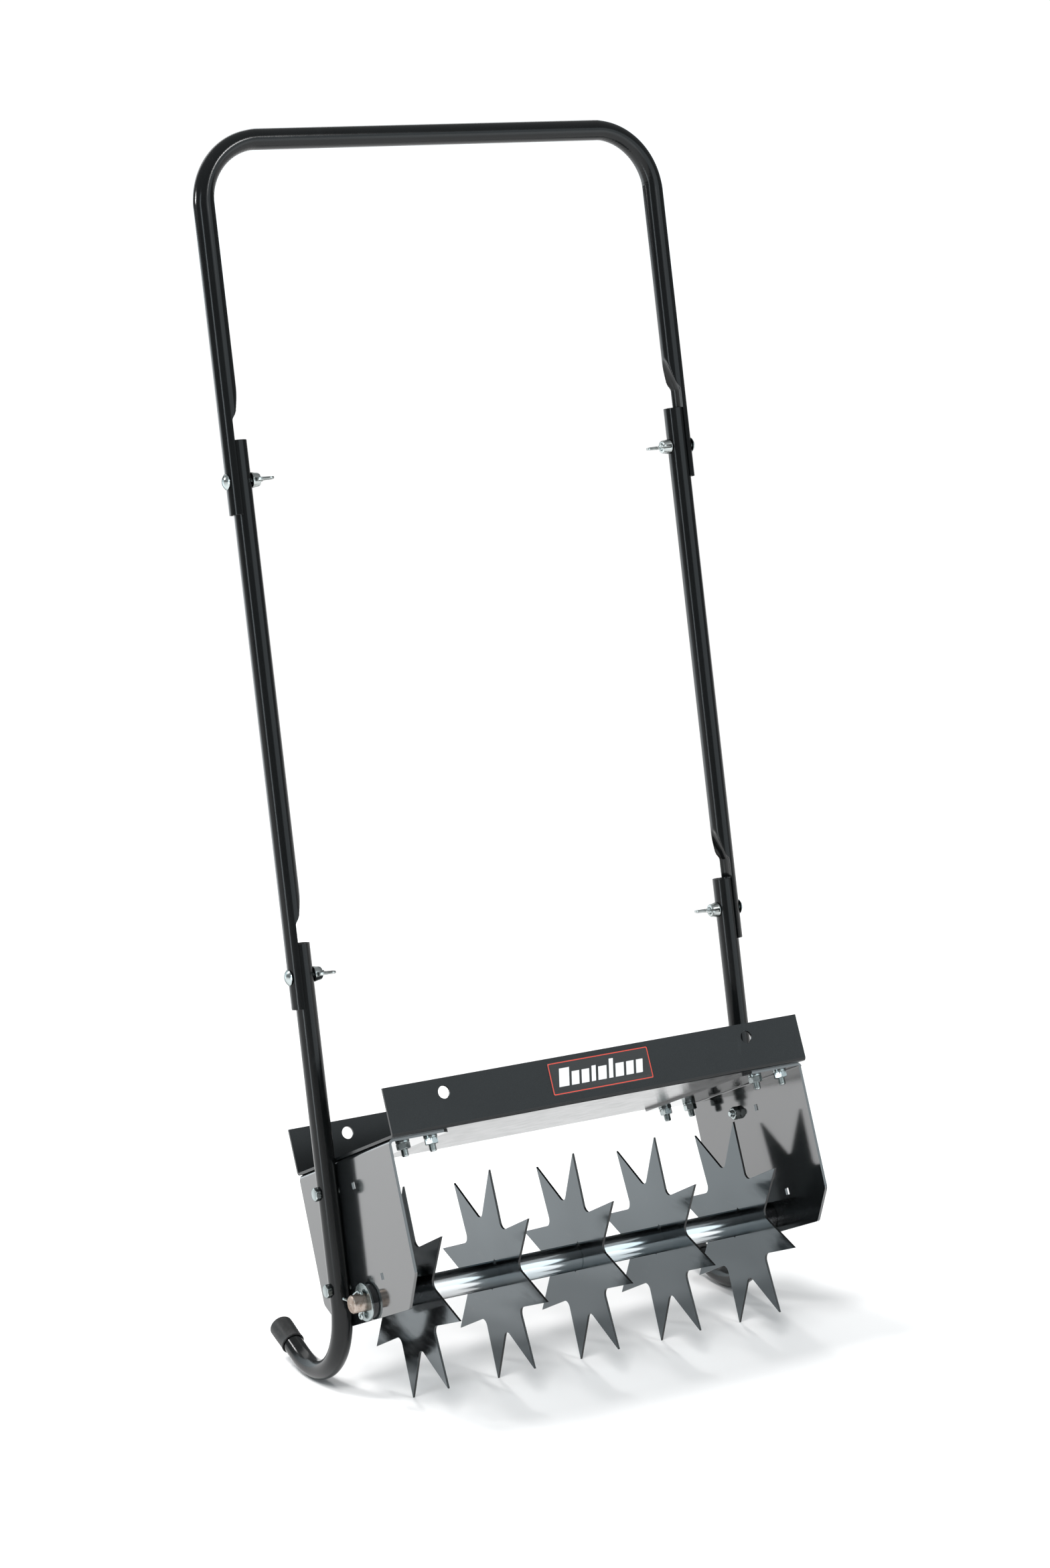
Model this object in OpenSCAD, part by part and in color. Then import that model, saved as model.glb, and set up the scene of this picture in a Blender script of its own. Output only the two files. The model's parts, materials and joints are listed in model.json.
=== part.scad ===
// Push spike aerator: a row of star-shaped spike discs under a weight tray, with a tube handle
// that bolts together in three lengths and two J-shaped legs that it stands on.
// Millimetres. X runs along the axle, -Y is the front (the label side), +Y the back, +Z up.
// The origin is on the ground, under the middle of the whole machine.

/* [Spike discs] */
// Radius of a spike disc from the axle to its tips
tip_r = 114.3; // [100:0.1:125]
// Radius at which the flanks of two neighbouring spikes would meet
valley_r = 57.8; // [52:0.1:64]
// Radius of the round bottom of each notch
notch_r = 8; // [5:0.5:9]
// Number of spikes on a disc
spikes = 8; // [8:1:8]
// Thickness of a disc
disc_t = 2.5; // [2:0.1:4]
// Distance between neighbouring discs
disc_pitch = 101.6; // [96:0.1:106]

/* [Axle] */
// Diameter of the axle rod
axle_d = 19.05; // [16:0.05:20]
// How far the rod stands out of each end plate
axle_out = 20.5; // [18:0.5:22]
// Outside diameter of the spacer tubes
spacer_d = 28.6; // [27:0.1:32]
// Wall thickness of the spacer tubes
spacer_wall = 2.2; // [1.5:0.1:3]
// Diameter of the two axle washers
washer_d = 40; // [36:1:42]
// Thickness of the axle washers
washer_t = 2.6; // [2:0.1:3]

/* [Tray and end plates] */
// Width over the two end plates
tray_w = 500; // [490:1:520]
// Thickness of the plates and the tray
sheet_t = 3; // [2.5:0.1:3.5]
// Angle by which the tray tips back when the machine stands on its legs
tray_tilt = 22; // [18:0.5:24]
// Height of the tab tops above the axle, square to the tray
tab_top = 149; // [145:1:155]
// Width of the tabs that fold in along the tops of the end plates
tab_w = 71; // [66:1:74]
// Height of the tray's front and rear walls
wall_h = 50.8; // [48:0.1:54]
// Distance from the axle forward to the front wall's outer face
front_face = 142; // [138:1:146]
// Distance from the axle back to the rear wall's outer face
rear_face = 110; // [108:1:114]
// Diameter of the round holes in the tray's walls
strap_hole_d = 13.5; // [12:0.5:14]

/* [Handle tubes] */
// Outside diameter of the handle and leg tubes
tube_d = 22.2; // [21:0.1:23]
// Wall thickness of the tubes
tube_wall = 1.3; // [1:0.1:1.6]
// Angle by which the handle leans back
lean = 8.4; // [6:0.1:10]
// Distance of the leg behind the axle, at the axle's height
leg_back = 45; // [44:0.5:48]
// Bend radius of the leg's hook
hook_r = 80; // [76:1:84]
// Angle at which the hook's tail rises
tail_rise = 22; // [16:1:26]
// Length of the hook's straight tail
tail_l = 50; // [46:1:56]
// Length of the straight part of a leg above its hook
leg_l = 379; // [370:1:390]
// Length of a middle tube that wraps round the top of its leg
lower_lap = 68; // [64:1:72]
// Length of the upper handle that wraps round the top of each middle tube
upper_lap = 77; // [72:1:80]
// Height, measured along the leg, at which the middle tube ends
middle_top = 904; // [880:1:920]
// Height, measured along the leg, of the top bar
bar_top = 1214; // [1180:1:1240]
// Bend radius of the upper handle
handle_bend_r = 68; // [60:1:76]
// How far each tube is set out from the tube that it cradles
step_out = 5; // [4.6:0.1:5.4]

/* [Fasteners] */
// Diameter of all bolts
bolt_d = 7.9; // [7.9:0.1:8]
// Size of the hexagon heads and nuts across the flats
hex_af = 12.7; // [12:0.1:13]

/* [Hidden] */
$fn = 64;

// clearances
run_gap = 0.07;      // a shaft in the hole that it turns in
hole_gap = 0.35;     // a bolt in its hole, on the radius
cradle_gap = 0.05;   // a tube in its cradle
side_play = 0.5;     // the spacers against the end plates
past = 1;            // how far a cutter reaches past a face
swell = 0.05;        // a bend's wall is this much thicker on each side
bite = 0.3;          // and a straight tube enters it this far

// end plates and tray
plate_out = tray_w / 2;
plate_in = plate_out - sheet_t;
bend_r = 4.5;        // outer radius of the folded edges
plate_front_top = 130;
plate_front_mid = [123, 12];
plate_front_low = [92, -20];
plate_back_low = [-82, -20];
plate_back_mid = [-113, 10];
plate_back_top = -106;
corner_r = 7;        // rounding of the plate's corners
pierced_hole = 7;    // the small square holes
pierced_at = [[24, 118], [46, 20]];
strap_hole_x = 183;
strap_hole_up = 36;  // hole centre above the tray's underside
tab_bolt_x = [plate_out - 53, plate_out - 21];
wall_bolt = 25;      // bolt line from the wall's outer face
label_w = 122;
label_h = 35;
label_t = 0.4;

// tubes
tube_r = tube_d / 2;
leg_x = plate_out + tube_r;
middle_x = leg_x + step_out;
handle_x = middle_x + step_out;
middle_bottom = leg_l - lower_lap;
handle_bottom = middle_top - upper_lap;
lower_bolt_s = leg_l - 34;
upper_bolt_s = middle_top - 42;
press_more = 20;     // the pressed hollow runs on this far past the cradled tube's end
neck_l = 36;         // length over which a tube goes from round to cradle
neck_turn = 28;      // lean of the dent over that length
lip = 6;             // the cradle's lips stop this far out from the middle of the cradled tube
leg_bolt_s = [15, 117];
cap_l = 34;
cap_wall = 1.9;

// fasteners
bolt_r = bolt_d / 2;
dome_d = 17.5;       // carriage bolt head
dome_h = 4.2;
neck_sq = 7.9;       // square neck under the head
neck_sq_l = 4.4;
carriage_l = 38.1;
hex_head_h = 5.3;
hex_nut_h = 6.7;
tray_bolt_l = 22.2;
leg_bolt_l = 36;
lock_t = 1.9;        // lock washer
lock_d = 14.4;
wing_hub_r = 7.6;
wing_hub_h = 9.5;
wing_t = 3;
wing_reach = 19;
wing_h = 20;
seat_gap = 0.15;     // under a wing nut, so that it turns freely

// axle details
axle_r = axle_d / 2;
bore_r = axle_r + run_gap;
boss_d = 36;         // black boss that carries the rod, on the outside of each end plate
boss_h = 3.6;
cotter_r = 1.9;
cotter_x = plate_out + boss_h + washer_t + 3.4;
cotter_leg_r = 1.4;
cotter_eye_r = 3.1;
key_w = 6;           // slot in a disc, and the spacer lug that enters it
key_out = 18;        // outer end of the slot
key_fit = 0.1;
key_turn = 20;       // angle of the slots from upright, towards the front
lug_l = 1.1;

// places: the axle is tip_r above the ground, and the machine's depth is centred on Y = 0
hook_c_z = tube_r + swell + hook_r;
hook_c_y = leg_back + (hook_r + (hook_c_z - tip_r) * sin(lean)) / cos(lean);
leg_start = [hook_c_y - hook_r * cos(lean), hook_c_z + hook_r * sin(lean)];
bar_y = leg_start[0] + bar_top * sin(lean);
mid_y = (bar_y + tube_r - tip_r) / 2;

// ---- frames of reference ----

// origin on the axle, upright
module on_axle() translate([0, -mid_y, tip_r]) children();

// origin on the axle, square to the tipped tray
module on_tray() on_axle() rotate([-tray_tilt, 0, 0]) children();

// origin at the foot of the straight legs, Z along the handle
module on_handle() translate([0, leg_start[0] - mid_y, leg_start[1]]) rotate([-lean, 0, 0]) children();

// the upright plane at X = x: local X is +Y and local Y is +Z
module in_side_plane(x) translate([x, -mid_y, 0]) rotate([90, 0, 90]) children();

// side 1 is the right, side -1 its mirror image on the left
module on_side(side) if (side > 0) children(); else mirror([1, 0, 0]) children();

// lays a part made along Z along +X
module along_x() rotate([0, 90, 0]) children();

// ---- shapes that repeat ----

function arc_points(c, r, a0, a1, n) = [for (i = [0:n]) let (a = a0 + (a1 - a0) * i / n)
    c + r * [cos(a), sin(a)]];

function unit(v) = v / norm(v);

// a closed outline with each corner rounded to radius r
function rounded(p, r, n = 5) = [for (i = [0:len(p) - 1])
    let (a = unit(p[(i + len(p) - 1) % len(p)] - p[i]), b = unit(p[(i + 1) % len(p)] - p[i]),
         half = acos(a * b) / 2, m = unit(a + b), c = p[i] + m * r / sin(half),
         qa = p[i] + a * r / tan(half) - c, qb = p[i] + b * r / tan(half) - c,
         t0 = atan2(qa[1], qa[0]), t1 = atan2(qb[1], qb[0]),
         turn = t1 - t0 > 180 ? t1 - t0 - 360 : t1 - t0 < -180 ? t1 - t0 + 360 : t1 - t0)
    each arc_points(c, r, t0, t0 + turn, n)];

module hexagon(h) cylinder(r = hex_af / sqrt(3), h = h, $fn = 6);

// hexagon with its outer corners turned off
module turned_hexagon(h) intersection() {
    hexagon(h);
    translate([0, 0, -5 + h]) rotate_extrude() polygon([[0, -h], [9, -h], [9, 3.4], [6.3, 5], [0, 5]]);
}

// bolt with its head above Z = 0 and its shank below
module hex_bolt(l) {
    turned_hexagon(hex_head_h);
    translate([0, 0, -l]) cylinder(r = bolt_r, h = l);
}

module hex_nut() difference() {
    turned_hexagon(hex_nut_h);
    translate([0, 0, -past]) cylinder(r = bolt_r + cradle_gap, h = hex_nut_h + 2 * past);
}

module lock_washer() difference() {
    cylinder(d = lock_d, h = lock_t);
    translate([0, 0, -past]) cylinder(r = bolt_r + 0.2, h = lock_t + 2 * past);
    translate([0, -0.7, -past]) cube([lock_d, 1.4, lock_t + 2 * past]);
}

// domed head above Z = 0, square neck and shank below
module carriage_bolt() {
    sphere_r = (dome_h * dome_h + dome_d * dome_d / 4) / (2 * dome_h);
    intersection() {
        translate([0, 0, dome_h - sphere_r]) sphere(r = sphere_r);
        cylinder(d = dome_d, h = dome_h + past);
    }
    translate([-neck_sq / 2, -neck_sq / 2, -neck_sq_l]) cube([neck_sq, neck_sq, neck_sq_l]);
    translate([0, 0, -carriage_l]) cylinder(r = bolt_r, h = carriage_l);
}

// base at Z = 0, wings along Y
module wing_nut() difference() {
    union() {
        cylinder(r1 = wing_hub_r + 0.6, r2 = wing_hub_r - 0.8, h = wing_hub_h);
        for (s = [-1, 1]) rotate([90, 0, 90]) translate([0, 0, -wing_t / 2]) linear_extrude(wing_t)
            mirror([s < 0 ? 1 : 0, 0]) {
                polygon([[4, 1.8], [10.5, 2.7], [wing_reach - 1.8, 10.5], [wing_reach, 15.2],
                         [13.8, wing_h - 1], [8.4, 11.8], [4, 9]]);
                translate([wing_reach - 5, wing_h - 5]) circle(r = 5);
            }
    }
    translate([0, 0, -past]) cylinder(r = bolt_r + run_gap, h = wing_h + 2 * past);
}

// angle section in XY with its outer corner at the origin and its legs along +X and +Y
module angle_section(x_leg, y_leg) {
    translate([bend_r, 0]) square([x_leg - bend_r, sheet_t]);
    translate([0, bend_r]) square([sheet_t, y_leg - bend_r]);
    intersection() {
        translate([bend_r, bend_r]) difference() {
            circle(r = bend_r);
            circle(r = bend_r - sheet_t);
        }
        square(bend_r);
    }
}

// ---- end plates and tray ----

plate_outline = rounded([
    [plate_front_low[0], plate_front_low[1]], [plate_back_low[0], plate_back_low[1]],
    [plate_back_mid[0], plate_back_mid[1]], [plate_back_top, tab_top + 30],
    [plate_front_top, tab_top + 30], [plate_front_mid[0], plate_front_mid[1]]], corner_r);

module end_plate(side) color([0.17, 0.2, 0.21]) on_side(side) on_tray() difference() {
    union() {
        // upright wall, up to where the tab's fold begins
        intersection() {
            translate([plate_in, 0, 0]) rotate([90, 0, 90]) linear_extrude(sheet_t)
                mirror([1, 0]) polygon(plate_outline);
            translate([plate_in - past, -200, -100]) cube([sheet_t + 2 * past, 400, 100 + tab_top - bend_r]);
        }
        // fold and tab
        translate([plate_out, -plate_back_top, tab_top]) rotate([90, 0, 0])
            linear_extrude(plate_front_top - plate_back_top) rotate(180)
            angle_section(tab_w, bend_r + 0.01);
        translate([plate_in + 1, 0, 0]) along_x() cylinder(d = boss_d, h = sheet_t - 1 + boss_h);
    }
    translate([plate_in - past, 0, 0]) along_x() cylinder(r = bore_r, h = sheet_t + boss_h + 2 * past);
    for (p = pierced_at) translate([plate_in - past, -p[0] - pierced_hole / 2, p[1] - pierced_hole / 2])
        cube([sheet_t + 2 * past, pierced_hole, pierced_hole]);
    for (x = tab_bolt_x, y = [wall_bolt - front_face, rear_face - wall_bolt])
        translate([x, y, tab_top - sheet_t - past]) cylinder(r = bolt_r + hole_gap, h = sheet_t + 2 * past);
    // the tab's inner corners are cut off at an angle
    for (e = [[-plate_front_top, 45], [-plate_back_top, 45]])
        translate([plate_out - tab_w, e[0], tab_top]) rotate(e[1]) cube([11, 11, 3 * sheet_t], center = true);
    // leg bolt holes
    on_side_leg_holes(plate_in);
}

// holes for the leg bolts, from X = x outwards, undone from the tray's own tilt
module on_side_leg_holes(x) rotate([tray_tilt, 0, 0]) translate([0, leg_start[0], leg_start[1] - tip_r])
    rotate([-lean, 0, 0]) for (s = leg_bolt_s) translate([x - past, 0, s])
    along_x() cylinder(r = bolt_r + hole_gap, h = sheet_t + 2 * past);

// one sheet folded up along its front and its back, open at both ends
module weight_tray() color([0.16, 0.19, 0.2]) on_tray() difference() {
    union() {
        translate([-plate_out, -front_face, tab_top]) rotate([90, 0, 90]) linear_extrude(tray_w)
            angle_section((front_face + rear_face) / 2 + 0.01, wall_h);
        translate([-plate_out, rear_face, tab_top]) rotate([90, 0, 90]) linear_extrude(tray_w)
            mirror([1, 0]) angle_section((front_face + rear_face) / 2 + 0.01, wall_h);
    }
    for (x = [-strap_hole_x, strap_hole_x], y = [-front_face, rear_face])
        translate([x, y, tab_top + strap_hole_up]) rotate([90, 0, 0])
        cylinder(d = strap_hole_d, h = 4 * sheet_t, center = true);
    for (s = [-1, 1], x = tab_bolt_x, y = [wall_bolt - front_face, rear_face - wall_bolt])
        translate([s * x, y, tab_top - past]) cylinder(r = bolt_r + hole_gap, h = sheet_t + 2 * past);
}

module front_label() color([0.75, 0.76, 0.77]) on_tray()
    translate([0, -front_face, tab_top + wall_h / 2 + 3]) rotate([90, 0, 0]) linear_extrude(label_t)
    polygon(rounded([[-label_w, -label_h] / 2, [label_w, -label_h] / 2,
                     [label_w, label_h] / 2, [-label_w, label_h] / 2], 2));

// ---- legs ----

// straight length of tube along +Z, which enters a bend at its low end, its high end or both
module tube(l, low = 0, high = 0) translate([0, 0, -low]) linear_extrude(l + low + high) tube_section(0);

// tube bent through an angle, about the origin in XY, from the X axis
module tube_bend(bend_radius, angle) rotate_extrude(angle = angle) translate([bend_radius, 0]) tube_section(swell);

module tube_section(extra) difference() {
    circle(r = tube_r + extra);
    circle(r = tube_r - tube_wall - extra);
}

// Z along the hook's straight tail
module hook_tail() translate([hook_c_y + hook_r * sin(tail_rise), hook_c_z - hook_r * cos(tail_rise)])
    rotate(tail_rise) rotate([0, 90, 0]) children();

module leg_tube(side) color([0.15, 0.17, 0.18]) on_side(side) difference() {
    in_side_plane(leg_x) {
        translate(leg_start) rotate(-lean) rotate([-90, 0, 0]) tube(leg_l, bite);
        translate([hook_c_y, hook_c_z]) rotate(180 - lean) tube_bend(hook_r, 90 + lean + tail_rise);
        hook_tail() tube(tail_l, bite);
    }
    on_handle() for (s = concat(leg_bolt_s, [lower_bolt_s])) translate([leg_x, 0, s])
        along_x() cylinder(r = bolt_r + hole_gap, h = 2 * tube_d, center = true);
}

// soft cap pushed over the hook's end
module leg_cap(side) color([0.1, 0.1, 0.11]) on_side(side) in_side_plane(leg_x) hook_tail()
    translate([0, 0, tail_l + cap_wall - cap_l]) rotate_extrude()
    difference() {
        union() {
            square([tube_r + cap_wall, cap_l - 3]);
            square([tube_r + cap_wall - 3, cap_l]);
            translate([tube_r + cap_wall - 3, cap_l - 3]) circle(r = 3);
        }
        translate([-past, -past]) square([tube_r + cradle_gap + past, cap_l - cap_wall + past]);
        translate([-10, -past]) square([10, cap_l + 2 * past]);
    }

// ---- handle tubes ----

// a rod of radius r, pressed in on its inner side: for the length l a cutter of radius cut_r lies
// in line with the cradled tube, and past that the cutter leans away until it clears the rod
module pressed(r, cut_r, l) difference() {
    translate([step_out, 0, 0]) cylinder(r = r, h = l + neck_l);
    translate([0, 0, -past]) cylinder(r = cut_r, h = l + past);
    intersection() {
        translate([0, 0, l]) rotate([0, -neck_turn, 0]) cylinder(r = cut_r, h = 8 * tube_d, center = true);
        translate([-4 * tube_d, -tube_d, l]) cube([8 * tube_d, 2 * tube_d, 2 * neck_l]);
    }
}

// cradle from Z = s upwards for the length of lap, then its neck, for a tube set out from the
// cradled one at X = x
module cradle_end(x, s, lap) translate([x, 0, s]) difference() {
    pressed(tube_r, tube_r + cradle_gap, lap + press_more);
    pressed(tube_r - tube_wall, tube_r + cradle_gap + tube_wall, lap + press_more);
    translate([lip - 2 * tube_d, -tube_d, -past])
        cube([2 * tube_d, 2 * tube_d, lap + press_more + past]);
}

// the bolt's square hole through a cradle at height s
module neck_hole(x, s) translate([x, -neck_sq / 2 - 0.1, s - neck_sq / 2 - 0.1])
    cube([tube_d * 2, neck_sq + 0.2, neck_sq + 0.2]);

module middle_tube(side) color([0.15, 0.17, 0.18]) on_side(side) on_handle() difference() {
    union() {
        cradle_end(leg_x, middle_bottom, lower_lap);
        translate([middle_x, 0, leg_l + press_more + neck_l]) tube(middle_top - leg_l - press_more - neck_l);
    }
    neck_hole(leg_x, lower_bolt_s);
    translate([middle_x, 0, upper_bolt_s]) along_x()
        cylinder(r = bolt_r + hole_gap, h = 2 * tube_d, center = true);
}

module upper_handle() color([0.15, 0.17, 0.18]) on_handle() {
    corner_x = handle_x - handle_bend_r;
    corner_s = bar_top - handle_bend_r;
    straight_from = middle_top + press_more + neck_l;
    for (side = [-1, 1]) on_side(side) {
        difference() {
            cradle_end(middle_x, handle_bottom, upper_lap);
            neck_hole(middle_x, upper_bolt_s);
        }
        translate([handle_x, 0, straight_from]) tube(corner_s - straight_from, 0, bite);
        translate([corner_x, 0, corner_s]) rotate([90, 0, 0]) tube_bend(handle_bend_r, 90);
    }
    translate([-corner_x, 0, bar_top]) along_x() tube(2 * corner_x, bite, bite);
}

// ---- axle and rotor ----

module axle_rod() color([0.45, 0.4, 0.36]) on_axle() difference() {
    translate([-plate_out - axle_out, 0, 0]) along_x() cylinder(r = axle_r, h = tray_w + 2 * axle_out);
    for (s = [-1, 1]) translate([s * cotter_x, 0, 0])
        cylinder(r = cotter_r + 0.2, h = 2 * axle_d, center = true);
}

module axle_washer(side) color([0.7, 0.72, 0.72]) on_side(side) on_axle()
    translate([plate_out + boss_h + cradle_gap, 0, 0]) along_x() difference() {
        cylinder(d = washer_d, h = washer_t);
        translate([0, 0, -past]) cylinder(r = axle_r + hole_gap, h = washer_t + 2 * past);
    }

// a straight piece of round wire from a to b, a little longer at both ends so that pieces join
module wire(a, b, r) {
    d = b - a;
    more = r * 0.45;
    translate(a - d / norm(d) * more) rotate([0, acos(d[2] / norm(d)), atan2(d[1], d[0])])
        cylinder(r = r, h = norm(d) + 2 * more);
}

// split pin through the rod: its eye below, one leg wrapped behind the rod with its tip out, one bent to the front
module cotter_pin(side) color([0.7, 0.72, 0.72]) on_side(side) on_axle() translate([cotter_x, 0, 0]) {
    top = axle_r + 1.6;
    translate([0, 0, -axle_r - 0.6]) cylinder(r = cotter_r, h = axle_r + 0.6 + top);
    translate([0, 0, 0.3 - axle_r - cotter_eye_r - cotter_leg_r]) rotate([90, 0, 90]) rotate_extrude()
        translate([cotter_eye_r, 0]) circle(r = cotter_leg_r);
    wire([0, 0, top], [0, -5, axle_r + 1.1], cotter_leg_r);
    wire([0, 0, top], [0.6, 5.6, axle_r + 0.6], cotter_leg_r);
    wire([0.6, 5.6, axle_r + 0.6], [2.6, 10.6, 5.4], cotter_leg_r);
    wire([2.6, 10.6, 5.4], [6, 11.6, 0.4], cotter_leg_r);
    wire([6, 11.6, 0.4], [13.4, 12.6, 3.6], cotter_leg_r);
}

// star with round-bottomed notches: a tip, then the arc of the notch after it
module disc_outline() {
    step = 360 / spikes;
    flank = atan2(tip_r * sin(step / 2), tip_r * cos(step / 2) - valley_r);
    notch_c = valley_r + notch_r / sin(flank);
    polygon([for (i = [0:spikes - 1]) let (a = i * step, b = a + step / 2) each concat(
        [tip_r * [cos(a), sin(a)]],
        arc_points(notch_c * [cos(b), sin(b)], notch_r, b + 270 - flank, b + 90 + flank, 8))]);
}

// made flat, with one spike along +X, then stood up so that this spike points straight down
module star_disc(i) color([0.43, 0.44, 0.44]) on_axle() translate([(i - 3) * disc_pitch, 0, 0])
    along_x() translate([0, 0, -disc_t / 2]) difference() {
        linear_extrude(disc_t) disc_outline();
        translate([0, 0, -past]) cylinder(r = bore_r, h = disc_t + 2 * past);
        for (a = [0, 180]) rotate(a) key_slot();
    }

// slot and lug directions, seen from the disc's flat pose, where -X is up and -Y is the front
module key_slot() rotate(180 + key_turn) translate([bore_r + 1.5, -key_w / 2, -past])
    cube([key_out - bore_r - 1.5, key_w, disc_t + 2 * past]);

module lug(z) for (a = [0, 180]) rotate(a + 180 + key_turn) translate([0, 0, z]) intersection() {
    translate([bore_r + 2, -key_w / 2 + key_fit, 0]) cube([20, key_w - 2 * key_fit, lug_l + 0.01]);
    cylinder(d = spacer_d - 0.01, h = lug_l + 0.01);
}

// tube from x0 to x1, with lugs on the ends that meet a disc
module spacer(x0, x1, lug_low, lug_high) on_axle() translate([x0, 0, 0]) along_x() difference() {
    union() {
        cylinder(d = spacer_d, h = x1 - x0);
        if (lug_low) lug(-lug_l);
        if (lug_high) lug(x1 - x0 - 0.01);
    }
    translate([0, 0, -lug_l - past]) cylinder(d = spacer_d - 2 * spacer_wall, h = x1 - x0 + 2 * (lug_l + past));
}

module spacer_tube(i) color([0.78, 0.79, 0.8])
    spacer((i - 3) * disc_pitch + disc_t / 2, (i - 2) * disc_pitch - disc_t / 2, true, true);

module end_spacer(side) color([0.3, 0.31, 0.32]) on_side(side)
    spacer(2 * disc_pitch + disc_t / 2, plate_in - side_play, true, false);

// ---- fasteners ----

module carriage_bolt_pair(x, s) color([0.72, 0.74, 0.75]) for (side = [-1, 1]) on_side(side) on_handle()
    translate([x + step_out + tube_r, 0, s]) along_x() carriage_bolt();

module joint_wing_nut(side, x, s) color([0.8, 0.81, 0.8]) on_side(side) on_handle()
    translate([x - tube_r - seat_gap, 0, s]) rotate([0, -90, 0]) wing_nut();

module leg_bolts() color([0.72, 0.74, 0.75]) for (side = [-1, 1]) on_side(side) on_handle()
    for (s = leg_bolt_s) translate([leg_x + tube_r, 0, s]) along_x() hex_bolt(leg_bolt_l);

module leg_nuts() color([0.72, 0.74, 0.75]) for (side = [-1, 1]) on_side(side) on_handle()
    for (s = leg_bolt_s) translate([plate_in, 0, s]) rotate([0, -90, 0]) hex_nut();

// one copy for each bolt through the tray's floor and a tab
module at_tray_bolts() on_tray() for (s = [-1, 1], x = tab_bolt_x,
    y = [wall_bolt - front_face, rear_face - wall_bolt]) translate([s * x, y, tab_top]) children();

module tray_bolts() color([0.72, 0.74, 0.75]) at_tray_bolts() translate([0, 0, sheet_t]) hex_bolt(tray_bolt_l);

module tray_lock_washers() color([0.7, 0.72, 0.73]) at_tray_bolts()
    translate([0, 0, -sheet_t - lock_t]) lock_washer();

module tray_nuts() color([0.72, 0.74, 0.75]) at_tray_bolts()
    translate([0, 0, -sheet_t - lock_t]) mirror([0, 0, 1]) hex_nut();

// ---- nodes ----

end_plate(-1);  // left_end_plate
end_plate(1);  // right_end_plate
weight_tray();
front_label();
leg_tube(-1);  // left_leg_tube
leg_tube(1);  // right_leg_tube
leg_cap(-1);  // left_leg_cap
leg_cap(1);  // right_leg_cap
middle_tube(-1);  // left_middle_tube
middle_tube(1);  // right_middle_tube
upper_handle();
axle_rod();
axle_washer(-1);  // left_axle_washer
axle_washer(1);  // right_axle_washer
cotter_pin(-1);  // left_cotter_pin
cotter_pin(1);  // right_cotter_pin
star_disc(1);  // star_disc_1
star_disc(2);  // star_disc_2
star_disc(3);  // star_disc_3
star_disc(4);  // star_disc_4
star_disc(5);  // star_disc_5
spacer_tube(1);  // spacer_tube_1
spacer_tube(2);  // spacer_tube_2
spacer_tube(3);  // spacer_tube_3
spacer_tube(4);  // spacer_tube_4
end_spacer(-1);  // left_end_spacer
end_spacer(1);  // right_end_spacer
carriage_bolt_pair(middle_x, upper_bolt_s);  // upper_carriage_bolts
carriage_bolt_pair(leg_x, lower_bolt_s);  // lower_carriage_bolts
joint_wing_nut(-1, middle_x, upper_bolt_s);  // upper_left_wing_nut
joint_wing_nut(1, middle_x, upper_bolt_s);  // upper_right_wing_nut
joint_wing_nut(-1, leg_x, lower_bolt_s);  // lower_left_wing_nut
joint_wing_nut(1, leg_x, lower_bolt_s);  // lower_right_wing_nut
leg_bolts();
leg_nuts();
tray_bolts();
tray_lock_washers();
tray_nuts();
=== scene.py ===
import json
import math

import bmesh
import bpy
from mathutils import Matrix, Vector


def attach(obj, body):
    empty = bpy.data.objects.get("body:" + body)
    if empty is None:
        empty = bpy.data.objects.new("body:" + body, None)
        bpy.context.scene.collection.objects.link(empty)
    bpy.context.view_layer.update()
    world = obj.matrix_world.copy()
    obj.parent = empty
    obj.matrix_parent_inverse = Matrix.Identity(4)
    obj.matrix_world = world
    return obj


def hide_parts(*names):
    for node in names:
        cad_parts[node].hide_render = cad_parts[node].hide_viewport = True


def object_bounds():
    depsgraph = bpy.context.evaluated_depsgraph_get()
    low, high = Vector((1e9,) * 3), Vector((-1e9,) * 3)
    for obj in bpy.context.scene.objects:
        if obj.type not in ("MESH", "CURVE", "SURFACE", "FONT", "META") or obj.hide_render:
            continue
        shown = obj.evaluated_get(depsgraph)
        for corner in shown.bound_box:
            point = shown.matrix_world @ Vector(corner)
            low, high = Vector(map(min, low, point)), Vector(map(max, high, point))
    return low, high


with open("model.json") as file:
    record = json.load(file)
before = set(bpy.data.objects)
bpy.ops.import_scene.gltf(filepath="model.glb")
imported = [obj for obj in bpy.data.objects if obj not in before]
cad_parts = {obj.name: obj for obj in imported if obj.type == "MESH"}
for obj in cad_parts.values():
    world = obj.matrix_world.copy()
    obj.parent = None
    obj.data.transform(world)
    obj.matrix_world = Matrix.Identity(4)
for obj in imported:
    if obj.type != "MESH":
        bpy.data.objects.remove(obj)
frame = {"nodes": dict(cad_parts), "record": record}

# A push spike aerator on a white studio floor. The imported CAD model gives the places; this script
# adds the finer shapes, the materials, the light and the camera. Local shapes are in millimetres.

CAD_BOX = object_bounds()
RECORD = frame["record"]
JOINT_AT = {j["name"]: Vector(j["pos_m"]) for j in RECORD["behaviour"]["joints"]}
MOUNT_AXIS = {m["name"]: Vector(m["axis"]) for m in RECORD["mounts"]}
BODY_OF = {n: body for body, nodes in RECORD["behaviour"]["bodies"].items() for n in nodes}

# ---- sizes of the design, in millimetres ----

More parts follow.
